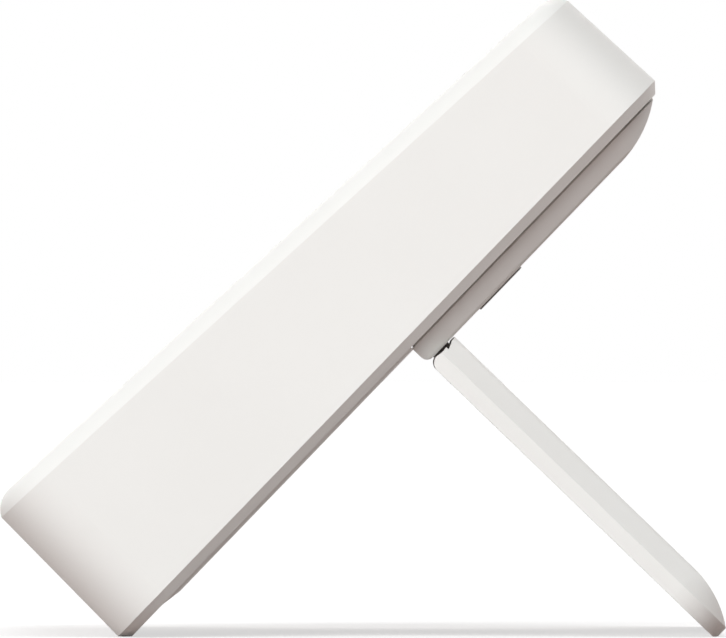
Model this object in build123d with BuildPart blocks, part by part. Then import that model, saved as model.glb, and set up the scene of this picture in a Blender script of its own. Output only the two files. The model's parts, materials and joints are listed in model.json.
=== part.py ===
from build123d import *
import os
from math import atan2, cos, radians, sin, sqrt, tan

# Digital photo frame: a wedge-shaped case that leans on a fold-out easel leg.
# Millimetres, +X along the width, +Y to the back, +Z up, the table at Z = 0.
# Places on the case are (x, height along its back), depths are ahead of or behind the case's rear rim.

# Stance
lean = 44.0
strip_proud = 0.2
strip_margin = 30.0
strip_breadth = 1.8
strip_thickness = 0.7

# Case
case_width = 260.0
case_height = 180.0
corner_radius = 15.0
depth_bottom = 42.6
depth_top = 31.1
wall_draft = 1.5
shell_wall = 2.0
front_wall = 3.0
bevel_radius = 6.8
bevel_sweep = 63.0
bevel_land = 0.1
cover_thickness = 2.3
lip_height = 2.0
lip_thickness = 1.2

# Screen
side_border = 21.5
end_border = 22.0
opening_radius = 2.0
opening_bevel = 1.6
glass_overlap = 4.0
gasket_width = 3.0
gasket_thickness = 0.5
glass_thickness = 1.1
panel_inset = 2.0
panel_thickness = 1.6
backlight_thickness = 2.8
tray_wall = 0.8
tray_floor = 0.6
ear_reach = 8.0
ear_length = 12.0
ear_height = 45.0

# Easel leg and its hinge
band_margin = 4.6
flank_slope = 42.0
flank_edge = 2.0
hinge_height = 100.3
hinge_drop = 4.1
leg_thickness = 8.46
leg_start = 8.04
leg_band = 3.7
leg_tip_radius = 14.0
leg_tip_height = 3.5
leg_tip_sweep = 26.0
leg_edge_radius = 2.4
leg_wall = 2.0
leg_cover_thickness = 1.6
leg_cover_margin = 6.0
foot_flat = 0.65
foot_margin = 25.4
foot_depth = 3.0
foot_height = 2.0
foot_proud = 0.2
leg_screw_edge = 21.4
leg_screw_inset = 18.0
leg_hollow_start = 9.0
leg_hollow_end = 20.0
leg_rebate = 2.0
hinge_depth = 3.23
pin_radius = 1.5
pin_length = 24.0
hinge_edge = 45.4
barrel_radius = 3.0
arm_width = 14.0
neck_half = 2.4
hinge_sweep = 5.8
cheek_thickness = 1.5
ear_radius = 2.4
ear_thickness = 2.0
washer_thickness = 0.6
washer_radius = 2.4
clip_thickness = 0.8
clip_radius = 2.4
bracket_thickness = 0.8
bracket_width = 32.0
bracket_screw_x = 10.0

# Rear housing and leg pocket
housing_drop = 4.5
housing_depth = 7.57
housing_arc_margin = 19.2
housing_arc = 28.0
housing_edge = 1.9
housing_wall = 1.8
housing_screw_edge = 49.4
seam_gap = 0.4
seam_inset = 0.45
pocket_floor = 1.2
pan_thickness = 2.6
pan_wall = 1.6
bay_width = 36.0
bay_rise = 12.2
rim_width = 1.6
rim_height = 0.75
rim_ramp_start = 12.6
rim_ramp_end = 17.7

# Push button
button_rise = 20.4
button_length = 14.0
button_width = 5.0
button_proud = 0.55
button_travel = 0.4
button_flange = 1.2
button_flange_thickness = 0.8
button_stem_radius = 1.6

# Boards and what they carry
board_thickness = 1.6
board_width = 100.0
board_margin = 8.0
board_length = 56.0
board_lift = 6.0
board_hole_inset = 4.0
chip_height = 1.2
switch_side = 6.0
switch_height = 2.0
plunger_radius = 1.5
plunger_rise = 0.6
processor_rise = 34.0
processor_side = 14.0
sink_side = 24.0
sink_base = 1.5
sink_height = 5.0
sink_fin = 1.0
sink_fin_pitch = 3.8
sink_fins = 7
memory_x = -24.0
memory_rises = (24.0, 38.0)
memory_width = 9.0
memory_length = 11.0
radio_x = 34.0
radio_width = 14.0
radio_length = 18.0
port_board_rise = 2.2
port_board_length = 55.0
port_board_depth = 30.0
port_board_lift = 8.0
port_hole_inset = 4.0
card_width = 28.0
card_depth = 22.0
card_height = 3.0
card_rise = 7.5
usb_width = 9.0
usb_depth = 7.4
usb_height = 3.2
usb_rise = 39.0
usb_shell = 0.4
usb_tongue = 0.7
card_shell = 0.4
connector_height = 1.2
connector_depth = 5.0
flex_thickness = 0.3
flex_bend = 2.0
lcd_flex_x = 24.0
lcd_flex_reach = 32.0
lcd_flex_run = 14.0
lcd_socket_rise = 5.0
port_flex_clear = 2.8
port_flex_inset = 7.0
flex_width = 20.0
port_flex_width = 12.0

# Loudspeakers
speaker_edge = 37.4
speaker_height = 50.0
speaker_radius = 15.0
speaker_depth = 6.0
magnet_radius = 8.0
magnet_depth = 4.0
speaker_gasket = 0.6
speaker_ring = 1.2
grille_hole = 1.1
grille_pitch = 4.6

# Fasteners and fits
shank_radius = 1.2
head_radius = 2.2
head_height = 1.2
drive_radius = 1.1
drive_depth = 0.7
boss_radius = 3.4
screw_bite = 6.0
cover_screw_edge = 12.0
cover_screw_low = 14.0
cover_screw_drop = 11.8
close_fit = 0.05
running_fit = 0.05
assembly_gap = 0.15
free_gap = 0.4
trim_margin = 1.0

# Directions and planes of the leaning case
up = Vector(0, sin(radians(lean)), cos(radians(lean)))
forward = Vector(0, -cos(radians(lean)), sin(radians(lean)))
across = Vector(1, 0, 0)
strip_width = cover_thickness / cos(radians(lean))
case_origin = Vector(0, -strip_width / 2, strip_proud)
back_plane = Plane(case_origin, x_dir=across, z_dir=forward)
rear_plane = Plane(case_origin, x_dir=-across, z_dir=-forward)
side_plane = Plane(case_origin, x_dir=up, z_dir=across)

os.makedirs("parts", exist_ok=True)


def shelf_plane(height):
    """Plane square to the back at a height along it: X across, Y to the rear."""
    return Plane(case_origin + up * height, x_dir=across, z_dir=up)


# Front plane, tilted to the back by the wedge
wedge = atan2(depth_bottom - depth_top, case_height)
front_normal = forward * cos(wedge) + up * sin(wedge)
front_centre = case_origin + up * (case_height / 2) + forward * ((depth_bottom + depth_top) / 2)
front_plane = Plane(front_centre, x_dir=across, z_dir=front_normal)
inner_plane = front_plane.offset(-front_wall)


def front_depth(height):
    """Depth of the front plane ahead of the rear rim, at a height along the back."""
    return depth_bottom - height * tan(wedge)


def wall_inside(depth):
    """Half the case's inside width at a depth ahead of the rear rim."""
    return case_width / 2 - shell_wall - depth * tan(radians(wall_draft))


# Places worked out from the sizes above
case_middle = (0, case_height / 2)
opening_width = case_width - 2 * side_border
opening_height = case_height - 2 * end_border
strip_length = case_width - 2 * strip_margin
leg_width = case_width - 2 * band_margin
leg_inner = hinge_height - hinge_drop
foot_length = leg_width - 2 * foot_margin
leg_screw_x = leg_width / 2 - leg_screw_edge
hinge_x = leg_width / 2 - hinge_edge
housing_screw_x = leg_width / 2 - housing_screw_edge
speaker_x = leg_width / 2 - speaker_edge
cover_screw_x = case_width / 2 - cover_screw_edge
housing_bottom = hinge_height - housing_drop
housing_arc_start = case_height - housing_arc_margin
bay_top = hinge_height + bay_rise
button_height = hinge_height + button_rise
board_bottom = case_height - board_margin - board_length
processor_place = (0, board_bottom + processor_rise)
memory_places = [(memory_x, board_bottom + rise) for rise in memory_rises]
radio_place = (radio_x, board_bottom + processor_rise)
port_board_bottom = housing_bottom + port_board_rise
card_bottom = port_board_bottom + card_rise
usb_bottom = port_board_bottom + usb_rise
lcd_flex_start = board_bottom - lcd_flex_reach
lcd_flex_bend = lcd_flex_start + lcd_flex_run
lcd_socket_height = board_bottom + lcd_socket_rise
port_flex_height = board_bottom + board_hole_inset + head_radius + port_flex_clear + port_flex_width / 2
port_flex_end = port_flex_inset - board_width / 2
bevel_drop = bevel_radius * (1 - cos(radians(bevel_sweep)))
bevel_inset = bevel_drop / tan(radians(bevel_sweep))
bevel_round = (bevel_drop / sin(radians(bevel_sweep)) - bevel_land) / tan(radians(bevel_sweep / 2))
glass_width = opening_width + 2 * glass_overlap
glass_height = opening_height + 2 * glass_overlap
panel_width = glass_width - 2 * panel_inset
panel_height = glass_height - 2 * panel_inset
glass_back = gasket_thickness + glass_thickness
panel_back = glass_back + panel_thickness
tray_front = panel_back + backlight_thickness
tray_back = tray_front + tray_floor
tray_width = panel_width + 2 * (assembly_gap + tray_wall)
tray_height = panel_height + 2 * (assembly_gap + tray_wall)
ear_x = glass_width / 2 + boss_radius + free_gap
ear_points = [(side * ear_x, rise * ear_height) for side in (-1, 1) for rise in (-1, 1)]
cover_screw_heights = (cover_screw_low, housing_bottom - cover_screw_drop)
cover_screw_points = [(side * cover_screw_x, height) for side in (-1, 1) for height in cover_screw_heights]
leg_outer = leg_inner + leg_thickness
leg_tip = (strip_proud + (leg_inner + foot_flat) * cos(radians(lean))) / sin(radians(lean))
leg_tip_top = leg_inner + leg_tip_height
leg_arc_drop = leg_outer - leg_tip_top
leg_arc_run = sqrt(leg_tip_sweep**2 - (leg_tip_sweep - leg_arc_drop) ** 2)
folded_tip = hinge_height - (leg_tip - hinge_depth)
pocket_width = leg_width + 2 * free_gap
pocket_bottom = folded_tip - free_gap
pan_bottom = shell_wall + assembly_gap
pan_depth = pocket_floor + pan_thickness
crease_depth = hinge_depth - (hinge_height - leg_inner) + leg_band
housing_band = crease_depth - cover_thickness
housing_rise = housing_depth - cover_thickness
housing_arc_centre = housing_arc - housing_depth
housing_top = housing_arc_start + sqrt(housing_arc**2 - (housing_arc_centre + cover_thickness) ** 2)
housing_inside = housing_depth - housing_wall
housing_screw_heights = (button_height, housing_arc_start)
housing_screw_points = [(side * housing_screw_x, h) for side in (-1, 1) for h in housing_screw_heights]
hinge_centres = (-hinge_x, hinge_x)
bracket_screw_height = bay_top - head_radius - free_gap
bracket_screw_points = [
    (centre + side * bracket_screw_x, bracket_screw_height) for centre in hinge_centres for side in (-1, 1)
]
board_middle = (0, board_bottom + board_length / 2)
board_front = board_lift + board_thickness
board_hole_x = board_width / 2 - board_hole_inset
board_hole_heights = (board_bottom + board_hole_inset, board_bottom + board_length - board_hole_inset)
board_points = [(side * board_hole_x, height) for side in (-1, 1) for height in board_hole_heights]
port_front = port_board_lift + board_thickness
port_mouth = -wall_inside(port_front + usb_height) + assembly_gap
port_board_middle = (port_mouth + port_board_depth / 2, port_board_bottom + port_board_length / 2)
port_board_top = port_board_bottom + port_board_length
port_hole_heights = (port_board_bottom + port_hole_inset, port_board_top - port_hole_inset)
port_points = [(port_board_middle[0], height) for height in port_hole_heights]
usb_middle = usb_bottom + usb_width / 2
stem_end = board_lift - switch_height - plunger_rise - button_travel - close_fit
socket_top = board_front + connector_height
port_socket_top = port_front + connector_height
port_flex_start = port_mouth + port_board_depth - connector_depth
leg_cut_height = (leg_tip * sin(radians(lean)) + foot_proud - strip_proud) / cos(radians(lean))
leg_cut_depth = (leg_inner * cos(radians(lean)) + strip_proud - foot_proud) / sin(radians(lean))
leg_screw_depths = (leg_start + leg_screw_inset, leg_tip - leg_hollow_end - boss_radius + free_gap)
leg_screw_points = [(side * leg_screw_x, depth) for side in (-1, 0, 1) for depth in leg_screw_depths]
washer_start = arm_width / 2 + assembly_gap
ear_start = washer_start + washer_thickness + assembly_gap
clip_start = ear_start + ear_thickness
flank_margin = leg_thickness
speaker_points = [(side * speaker_x, speaker_height) for side in (-1, 1)]


def tray_rear(height):
    """Depth of the screen tray's back ahead of the rear rim, at a height along the back."""
    return front_depth(height) - (front_wall + tray_back) / cos(wedge)


def case_block(grow, front):
    """Block with the case's drafted walls, its outline grown, cut off in front by a plane."""
    with BuildPart() as block:
        with BuildSketch(back_plane):
            with Locations(case_middle):
                RectangleRounded(case_width + 2 * grow, case_height + 2 * grow, corner_radius + grow)
        extrude(amount=depth_bottom + front_wall, taper=wall_draft)
        split(bisect_by=front, keep=Keep.BOTTOM)
    return block.part


def leg_plan(grow, start, end):
    """Outline of the leg, X across and Y along it, grown at the sides and tip."""
    with BuildSketch() as plan:
        with Locations((0, (start + end + grow) / 2)):
            Rectangle(leg_width + 2 * grow, end + grow - start)
        fillet(plan.vertices().group_by(Axis.Y)[-1], leg_tip_radius + grow)
    return plan.sketch


def flanked_block(plane, outline, band, rise):
    """Block on an outline: straight walls up to the band, then flanks that slope in to its top."""
    with BuildPart() as block:
        with BuildSketch(plane):
            add(outline)
        extrude(amount=band)
        with BuildSketch(plane.offset(band)):
            add(outline)
        extrude(amount=rise - band, taper=flank_slope)
    return block.part


def paired(start, width):
    """Where pieces on both sides of each hinge start, for a gap from its centre and a width."""
    return [centre + side for centre in hinge_centres for side in (start, -start - width)]


def screws(plane, points, length):
    """Pan-head screws at points on a plane, their heads standing on it."""
    with BuildPart() as group:
        with BuildSketch(plane):
            with Locations(*points):
                Circle(head_radius)
        extrude(amount=head_height)
        with BuildSketch(plane.offset(head_height)):
            with Locations(*points):
                RegularPolygon(drive_radius, 6)
        extrude(amount=-drive_depth, mode=Mode.SUBTRACT)
        with BuildSketch(plane):
            with Locations(*points):
                Circle(shank_radius)
        extrude(amount=-length)
    return group.part


# Front frame: the white wedge shell with its rounded front edge, window, bosses and port cut-outs
case_solid = case_block(0, front_plane)
hollow_block = case_block(-shell_wall, inner_plane)

with BuildPart() as cavity:
    add(hollow_block)
    with BuildSketch(back_plane.offset(pan_depth)):
        with Locations(*cover_screw_points):
            Circle(boss_radius)
    extrude(amount=depth_bottom, mode=Mode.SUBTRACT)

with BuildPart() as front_frame:
    add(case_solid)
    front_side = front_frame.faces().filter_by(front_plane)[0]
    chamfer(front_side.edges(), bevel_inset, bevel_drop, reference=front_side)
    fillet(front_frame.faces().filter_by(front_plane)[0].edges(), bevel_round)
    add(cavity.part, mode=Mode.SUBTRACT)
    with BuildSketch(front_plane):
        RectangleRounded(opening_width, opening_height, opening_radius)
    extrude(amount=-2 * front_wall, mode=Mode.SUBTRACT)
    front_face = front_frame.faces().filter_by(front_plane).sort_by(Axis(front_centre, front_normal))[-1]
    chamfer(front_face.inner_wires()[0].edges(), opening_bevel)
    with BuildSketch(inner_plane):
        with Locations(*ear_points):
            Circle(boss_radius)
    extrude(amount=-tray_front)
    with BuildSketch(inner_plane.offset(-tray_front)):
        with Locations(*ear_points):
            Circle(shank_radius + close_fit)
    extrude(amount=tray_front - glass_back, mode=Mode.SUBTRACT)
    with BuildSketch(back_plane.offset(pan_depth)):
        with Locations(*cover_screw_points):
            Circle(shank_radius + close_fit)
    extrude(amount=screw_bite, mode=Mode.SUBTRACT)
    with BuildSketch(side_plane.offset(-case_width / 2)):
        with Locations((card_bottom + card_width / 2, port_front + card_height / 2)):
            RectangleRounded(card_width - 2, card_height - free_gap, free_gap)
        with Locations((usb_middle, port_front + usb_height / 2)):
            SlotOverall(usb_width + free_gap, usb_height + free_gap)
    extrude(amount=2 * shell_wall, mode=Mode.SUBTRACT)
front_frame.part.label = "front_frame"
export_step(front_frame.part, "parts/front_frame.step")

# Screen stack behind the window: foam ring, glass, panel, backlight and the steel tray that holds them
with BuildPart() as display_gasket:
    with BuildSketch(inner_plane):
        Rectangle(glass_width, glass_height)
        Rectangle(glass_width - 2 * gasket_width, glass_height - 2 * gasket_width, mode=Mode.SUBTRACT)
    extrude(amount=-gasket_thickness)
display_gasket.part.label = "display_gasket"
export_step(display_gasket.part, "parts/display_gasket.step")

with BuildPart() as cover_glass:
    with BuildSketch(inner_plane.offset(-gasket_thickness)):
        Rectangle(glass_width, glass_height)
    extrude(amount=-glass_thickness)
cover_glass.part.label = "cover_glass"
export_step(cover_glass.part, "parts/cover_glass.step")

with BuildPart() as lcd_panel:
    with BuildSketch(inner_plane.offset(-glass_back)):
        Rectangle(panel_width, panel_height)
    extrude(amount=-panel_thickness)
lcd_panel.part.label = "lcd_panel"
export_step(lcd_panel.part, "parts/lcd_panel.step")

with BuildPart() as backlight:
    with BuildSketch(inner_plane.offset(-panel_back)):
        Rectangle(panel_width, panel_height)
    extrude(amount=-backlight_thickness)
backlight.part.label = "backlight"
export_step(backlight.part, "parts/backlight.step")

with BuildPart() as lcd_tray:
    with BuildSketch(inner_plane.offset(-glass_back)):
        Rectangle(tray_width, tray_height)
        Rectangle(tray_width - 2 * tray_wall, tray_height - 2 * tray_wall, mode=Mode.SUBTRACT)
    extrude(amount=glass_back - tray_front)
    with BuildSketch(inner_plane.offset(-tray_front)):
        Rectangle(tray_width, tray_height)
        with Locations((0, -ear_height), (0, ear_height)):
            Rectangle(2 * (ear_x + ear_reach / 2), ear_length)
        with Locations(*ear_points):
            Circle(shank_radius + close_fit, mode=Mode.SUBTRACT)
    extrude(amount=-tray_floor)
lcd_tray.part.label = "lcd_tray"
export_step(lcd_tray.part, "parts/lcd_tray.step")

tray_rear_plane = Plane(inner_plane.offset(-tray_back).origin, x_dir=-across, z_dir=-front_normal)
panel_screws = screws(tray_rear_plane, ear_points, tray_back - glass_back - free_gap)
panel_screws.label = "panel_screws"
export_step(panel_screws, "parts/panel_screws.step")

# Rear cover: chamfered plate with the leg's pocket, the rim beside it, bosses and the sound holes
pocket_plan = leg_plan(free_gap, hinge_height - housing_bottom, hinge_height - folded_tip)
pan_grow = free_gap + pan_wall
pan_plan = leg_plan(pan_grow, hinge_height - housing_bottom, hinge_height - pan_bottom - pan_grow)
cover_screw_seat = rear_plane.offset(-pocket_floor - head_height)
hinge_back = Plane(case_origin + up * hinge_height, x_dir=across, z_dir=-forward)

# Raised rim on both sides of the pocket, its flanks in line with the cover's chamfer
rim_outside = pocket_width / 2 + rim_width
rim_inside = rim_outside - rim_height * tan(radians(lean))

with BuildPart() as pocket_rim:
    with BuildSketch(side_plane):
        with BuildLine():
            Polyline(
                (rim_ramp_start, -cover_thickness),
                (rim_ramp_end, -cover_thickness - rim_height),
                (housing_bottom, -cover_thickness - rim_height),
                (housing_bottom, -cover_thickness),
                close=True,
            )
        make_face()
    extrude(amount=rim_outside, both=True)
    with BuildSketch(shelf_plane(0)):
        with BuildLine():
            Polyline(
                (-rim_outside, cover_thickness),
                (rim_outside, cover_thickness),
                (rim_inside, cover_thickness + rim_height),
                (-rim_inside, cover_thickness + rim_height),
                close=True,
            )
        make_face()
    extrude(amount=case_height, mode=Mode.INTERSECT)

with BuildPart() as rear_cover:
    with BuildSketch(rear_plane):
        with Locations(case_middle):
            RectangleRounded(case_width, case_height, corner_radius)
    extrude(amount=cover_thickness, taper=lean)
    # Tongue that centres the cover in the case, cleared round the case's bosses
    with BuildSketch(back_plane):
        with Locations(case_middle):
            lip_side = 2 * (shell_wall + assembly_gap + lip_height * tan(radians(wall_draft)))
            lip_corner = corner_radius - lip_side / 2
            RectangleRounded(case_width - lip_side, case_height - lip_side, lip_corner)
            inner_side = lip_side + 2 * lip_thickness
            RectangleRounded(
                case_width - inner_side,
                case_height - inner_side,
                lip_corner - lip_thickness,
                mode=Mode.SUBTRACT,
            )
    extrude(amount=lip_height)
    # Pan that carries the pocket and the hinge bays
    with BuildSketch(hinge_back.offset(-pan_depth)):
        add(pan_plan)
    extrude(amount=pan_depth)
    bay_middles = [(centre, (housing_bottom + bay_top) / 2) for centre in hinge_centres]
    with BuildSketch(back_plane):
        with Locations(*bay_middles):
            Rectangle(bay_width + 2 * pan_wall, bay_top - housing_bottom + 2 * pan_wall)
    extrude(amount=pan_depth)
    add(pocket_rim.part)
    # Pocket for the folded leg and the bays for its hinges
    with BuildSketch(hinge_back.offset(-pocket_floor)):
        add(pocket_plan)
    extrude(amount=pocket_floor + cover_thickness + 2 * rim_height, mode=Mode.SUBTRACT)
    with BuildSketch(back_plane):
        with Locations((0, (pan_bottom + pocket_bottom + leg_tip_radius) / 2)):
            Rectangle(pocket_width - 2 * leg_tip_radius, leg_tip_radius + pocket_bottom - pan_bottom)
    extrude(amount=pocket_floor, mode=Mode.SUBTRACT)
    with BuildSketch(back_plane.offset(pocket_floor)):
        with Locations(*bay_middles):
            Rectangle(bay_width, bay_top - housing_bottom + 2 * free_gap)
    extrude(amount=-pocket_floor - cover_thickness - rim_height, mode=Mode.SUBTRACT)
    # Bosses for the boards, and rings round the loudspeakers
    with BuildSketch(back_plane):
        with Locations(*board_points):
            Circle(boss_radius)
    extrude(amount=board_lift)
    with BuildSketch(back_plane):
        with Locations(*port_points):
            Circle(boss_radius)
    extrude(amount=port_board_lift)
    with BuildSketch(back_plane.offset(pan_depth)):
        with Locations(*bracket_screw_points):
            Circle(boss_radius)
    extrude(amount=screw_bite)
    with BuildSketch(back_plane.offset(pan_depth)):
        with Locations(*speaker_points):
            Circle(speaker_radius + assembly_gap + speaker_ring)
            Circle(speaker_radius + assembly_gap, mode=Mode.SUBTRACT)
    extrude(amount=speaker_gasket + speaker_depth / 2)
    # Holes for screws, the button's stem and sound
    with BuildSketch(cover_screw_seat):
        with Locations(*cover_screw_points):
            Circle(head_radius + close_fit)
    extrude(amount=head_height, mode=Mode.SUBTRACT)
    with BuildSketch(back_plane.offset(pocket_floor)):
        with Locations(*cover_screw_points):
            Circle(shank_radius + close_fit)
        with Locations(*speaker_points):
            Circle(grille_hole)
            with PolarLocations(grille_pitch, 6):
                Circle(grille_hole)
            with PolarLocations(2 * grille_pitch, 12):
                Circle(grille_hole)
    extrude(amount=pan_thickness, mode=Mode.SUBTRACT)
    with BuildSketch(rear_plane):
        with Locations(*housing_screw_points):
            Circle(shank_radius + close_fit)
        with Locations((0, button_height)):
            Circle(button_stem_radius + free_gap)
    extrude(amount=cover_thickness, mode=Mode.SUBTRACT)
    with BuildSketch(back_plane.offset(board_lift)):
        with Locations(*board_points):
            Circle(shank_radius + close_fit)
    extrude(amount=-board_lift, mode=Mode.SUBTRACT)
    with BuildSketch(back_plane.offset(port_board_lift)):
        with Locations(*port_points):
            Circle(shank_radius + close_fit)
    extrude(amount=-port_board_lift, mode=Mode.SUBTRACT)
    with BuildSketch(back_plane.offset(pocket_floor)):
        with Locations(*bracket_screw_points):
            Circle(shank_radius + close_fit)
    extrude(amount=screw_bite, mode=Mode.SUBTRACT)
    # Groove for the rubber strip
    with BuildSketch(Plane.XY):
        SlotOverall(strip_length + 2 * close_fit, strip_breadth + 2 * close_fit)
    extrude(amount=strip_thickness, mode=Mode.SUBTRACT)
rear_cover.part.label = "rear_cover"
export_step(rear_cover.part, "parts/rear_cover.step")

cover_screw_length = pan_thickness - head_height + screw_bite - free_gap
cover_screws = screws(cover_screw_seat, cover_screw_points, cover_screw_length)
cover_screws.label = "cover_screws"
export_step(cover_screws, "parts/cover_screws.step")

# Rubber strip let into the level bottom edge of the rear cover: the frame stands on it
with BuildPart() as base_strip:
    with BuildSketch(Plane.XY):
        SlotOverall(strip_length, strip_breadth)
    extrude(amount=strip_thickness)
base_strip.part.label = "base_strip"
export_step(base_strip.part, "parts/base_strip.step")

# Rear housing: the shallow shell over the hinge and the button
housing_plane = rear_plane.offset(cover_thickness)
housing_start = housing_bottom - flank_margin
housing_end = housing_top + seam_inset
housing_outline = leg_plan(0, housing_start, housing_end)
housing_inner_outline = leg_plan(-housing_wall, housing_start, housing_end)
housing_block = flanked_block(housing_plane, housing_outline, housing_band, housing_rise)
inner_rise = housing_rise - housing_wall
housing_inner_block = flanked_block(housing_plane, housing_inner_outline, housing_band, inner_rise)


def housing_profile(inset):
    """Side profile of the housing, drawn in by a wall: flat back, square lower end and curved top."""
    lower = housing_bottom + inset
    back = housing_depth - inset
    foot = cover_thickness - trim_margin
    top = housing_arc_start + sqrt((housing_arc - inset) ** 2 - (housing_arc_centre + foot) ** 2)
    with BuildSketch() as profile:
        with BuildLine():
            Polyline(
                (top, -foot),
                (lower, -foot),
                (lower, -back),
                (housing_arc_start, -back),
            )
            TangentArc((housing_arc_start, -back), (top, -foot), tangent=(1, 0))
        make_face()
        fillet(profile.vertices().group_by(Axis.Y)[0].sort_by(Axis.X)[0], housing_edge)
    return profile.sketch


housing_outside = housing_profile(0)
housing_hollow = housing_profile(housing_wall)

with BuildPart() as housing_cavity:
    add(housing_inner_block)
    with BuildSketch(side_plane):
        add(housing_hollow)
    extrude(amount=case_width, both=True, mode=Mode.INTERSECT)
    with BuildSketch(housing_plane):
        with Locations(*housing_screw_points):
            Circle(boss_radius - free_gap)
    extrude(amount=housing_depth, mode=Mode.SUBTRACT)

with BuildPart() as rear_housing:
    add(housing_block)
    fillet(rear_housing.faces().sort_by(Axis(case_origin, -forward))[-1].edges(), flank_edge)
    with BuildSketch(side_plane):
        add(housing_outside)
    extrude(amount=case_width, both=True, mode=Mode.INTERSECT)
    add(housing_cavity.part, mode=Mode.SUBTRACT)
    # Shadow line where the shell meets the cover
    seam_outline = leg_plan(-seam_inset, housing_bottom + seam_inset, housing_top)
    with BuildSketch(housing_plane):
        with Locations(case_middle):
            Rectangle(2 * case_width, 2 * case_height)
        add(seam_outline, mode=Mode.SUBTRACT)
    extrude(amount=seam_gap, mode=Mode.SUBTRACT)
    # Slots for the hinge arms, the button's hole and the screws' pilot holes
    with BuildSketch(rear_plane.offset(cover_thickness)):
        slot_top = hinge_height + barrel_radius + free_gap
        slot_bottom = housing_bottom - free_gap
        with Locations(*[(centre, (slot_bottom + slot_top) / 2) for centre in hinge_centres]):
            Rectangle(arm_width + 2 * free_gap, slot_top - slot_bottom)
        with Locations((0, button_height)):
            SlotOverall(button_length + 2 * assembly_gap, button_width + 2 * assembly_gap, rotation=90)
    extrude(amount=housing_depth, mode=Mode.SUBTRACT)
    with BuildSketch(rear_plane.offset(cover_thickness)):
        with Locations(*housing_screw_points):
            Circle(shank_radius + close_fit)
    extrude(amount=housing_inside - cover_thickness - free_gap, mode=Mode.SUBTRACT)
rear_housing.part.label = "rear_housing"
export_step(rear_housing.part, "parts/rear_housing.step")

housing_screws = screws(back_plane, housing_screw_points, housing_inside - 2 * free_gap)
housing_screws.label = "housing_screws"
export_step(housing_screws, "parts/housing_screws.step")

# Power button: oblong cap, a flange that keeps it in and a stem down to its switch
with BuildPart() as power_button:
    with BuildSketch(rear_plane.offset(housing_inside - assembly_gap)):
        with Locations((0, button_height)):
            SlotOverall(button_length, button_width, rotation=90)
    extrude(amount=housing_wall + assembly_gap + button_proud)
    fillet(power_button.faces().sort_by(Axis(case_origin, forward))[0].edges(), button_proud / 2)
    with BuildSketch(rear_plane.offset(housing_inside - assembly_gap)):
        with Locations((0, button_height)):
            SlotOverall(button_length + 2 * button_flange, button_width + 2 * button_flange, rotation=90)
    extrude(amount=-button_flange_thickness)
    with BuildSketch(rear_plane.offset(housing_inside - assembly_gap)):
        with Locations((0, button_height)):
            Circle(button_stem_radius)
    extrude(amount=-(housing_inside - assembly_gap + stem_end))
power_button.part.label = "power_button"
export_step(power_button.part, "parts/power_button.step")

# Main board with its chips, switch and sockets, screwed to the rear cover
with BuildPart() as main_board:
    with BuildSketch(back_plane.offset(board_lift)):
        with Locations(board_middle):
            Rectangle(board_width, board_length)
        with Locations(*board_points):
            Circle(shank_radius + close_fit, mode=Mode.SUBTRACT)
    extrude(amount=board_thickness)
main_board.part.label = "main_board"
export_step(main_board.part, "parts/main_board.step")

board_screws = screws(back_plane.offset(board_front), board_points, board_thickness + board_lift - free_gap)
board_screws.label = "board_screws"
export_step(board_screws, "parts/board_screws.step")

with BuildPart() as tact_switch:
    with BuildSketch(rear_plane.offset(-board_lift)):
        with Locations((0, button_height)):
            Rectangle(switch_side, switch_side)
    extrude(amount=switch_height)
    with BuildSketch(rear_plane.offset(-board_lift)):
        with Locations((0, button_height)):
            Circle(plunger_radius)
    extrude(amount=switch_height + plunger_rise)
tact_switch.part.label = "tact_switch"
export_step(tact_switch.part, "parts/tact_switch.step")

with BuildPart() as processor:
    with BuildSketch(back_plane.offset(board_front)):
        with Locations(processor_place):
            Rectangle(processor_side, processor_side)
    extrude(amount=chip_height)
processor.part.label = "processor"
export_step(processor.part, "parts/processor.step")

with BuildPart() as heat_sink:
    with BuildSketch(back_plane.offset(board_front + chip_height)):
        with Locations(processor_place):
            Rectangle(sink_side, sink_side)
    extrude(amount=sink_base)
    with BuildSketch(back_plane.offset(board_front + chip_height + sink_base)):
        with Locations(processor_place):
            with GridLocations(sink_fin_pitch, 0, sink_fins, 1):
                Rectangle(sink_fin, sink_side)
    extrude(amount=sink_height)
heat_sink.part.label = "heat_sink"
export_step(heat_sink.part, "parts/heat_sink.step")

with BuildPart() as memory_chips:
    with BuildSketch(back_plane.offset(board_front)):
        with Locations(*memory_places):
            Rectangle(memory_width, memory_length)
    extrude(amount=chip_height)
memory_chips.part.label = "memory_chips"
export_step(memory_chips.part, "parts/memory_chips.step")

with BuildPart() as radio_module:
    with BuildSketch(back_plane.offset(board_front)):
        with Locations(radio_place):
            Rectangle(radio_width, radio_length)
    extrude(amount=2 * chip_height)
radio_module.part.label = "radio_module"
export_step(radio_module.part, "parts/radio_module.step")

with BuildPart() as flex_sockets:
    with BuildSketch(back_plane.offset(board_front)):
        with Locations((lcd_flex_x, lcd_socket_height)):
            Rectangle(flex_width + connector_depth, connector_depth)
        with Locations((port_flex_end, port_flex_height)):
            Rectangle(connector_depth, port_flex_width + connector_depth)
    extrude(amount=connector_height)
flex_sockets.part.label = "flex_sockets"
export_step(flex_sockets.part, "parts/flex_sockets.step")

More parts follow.
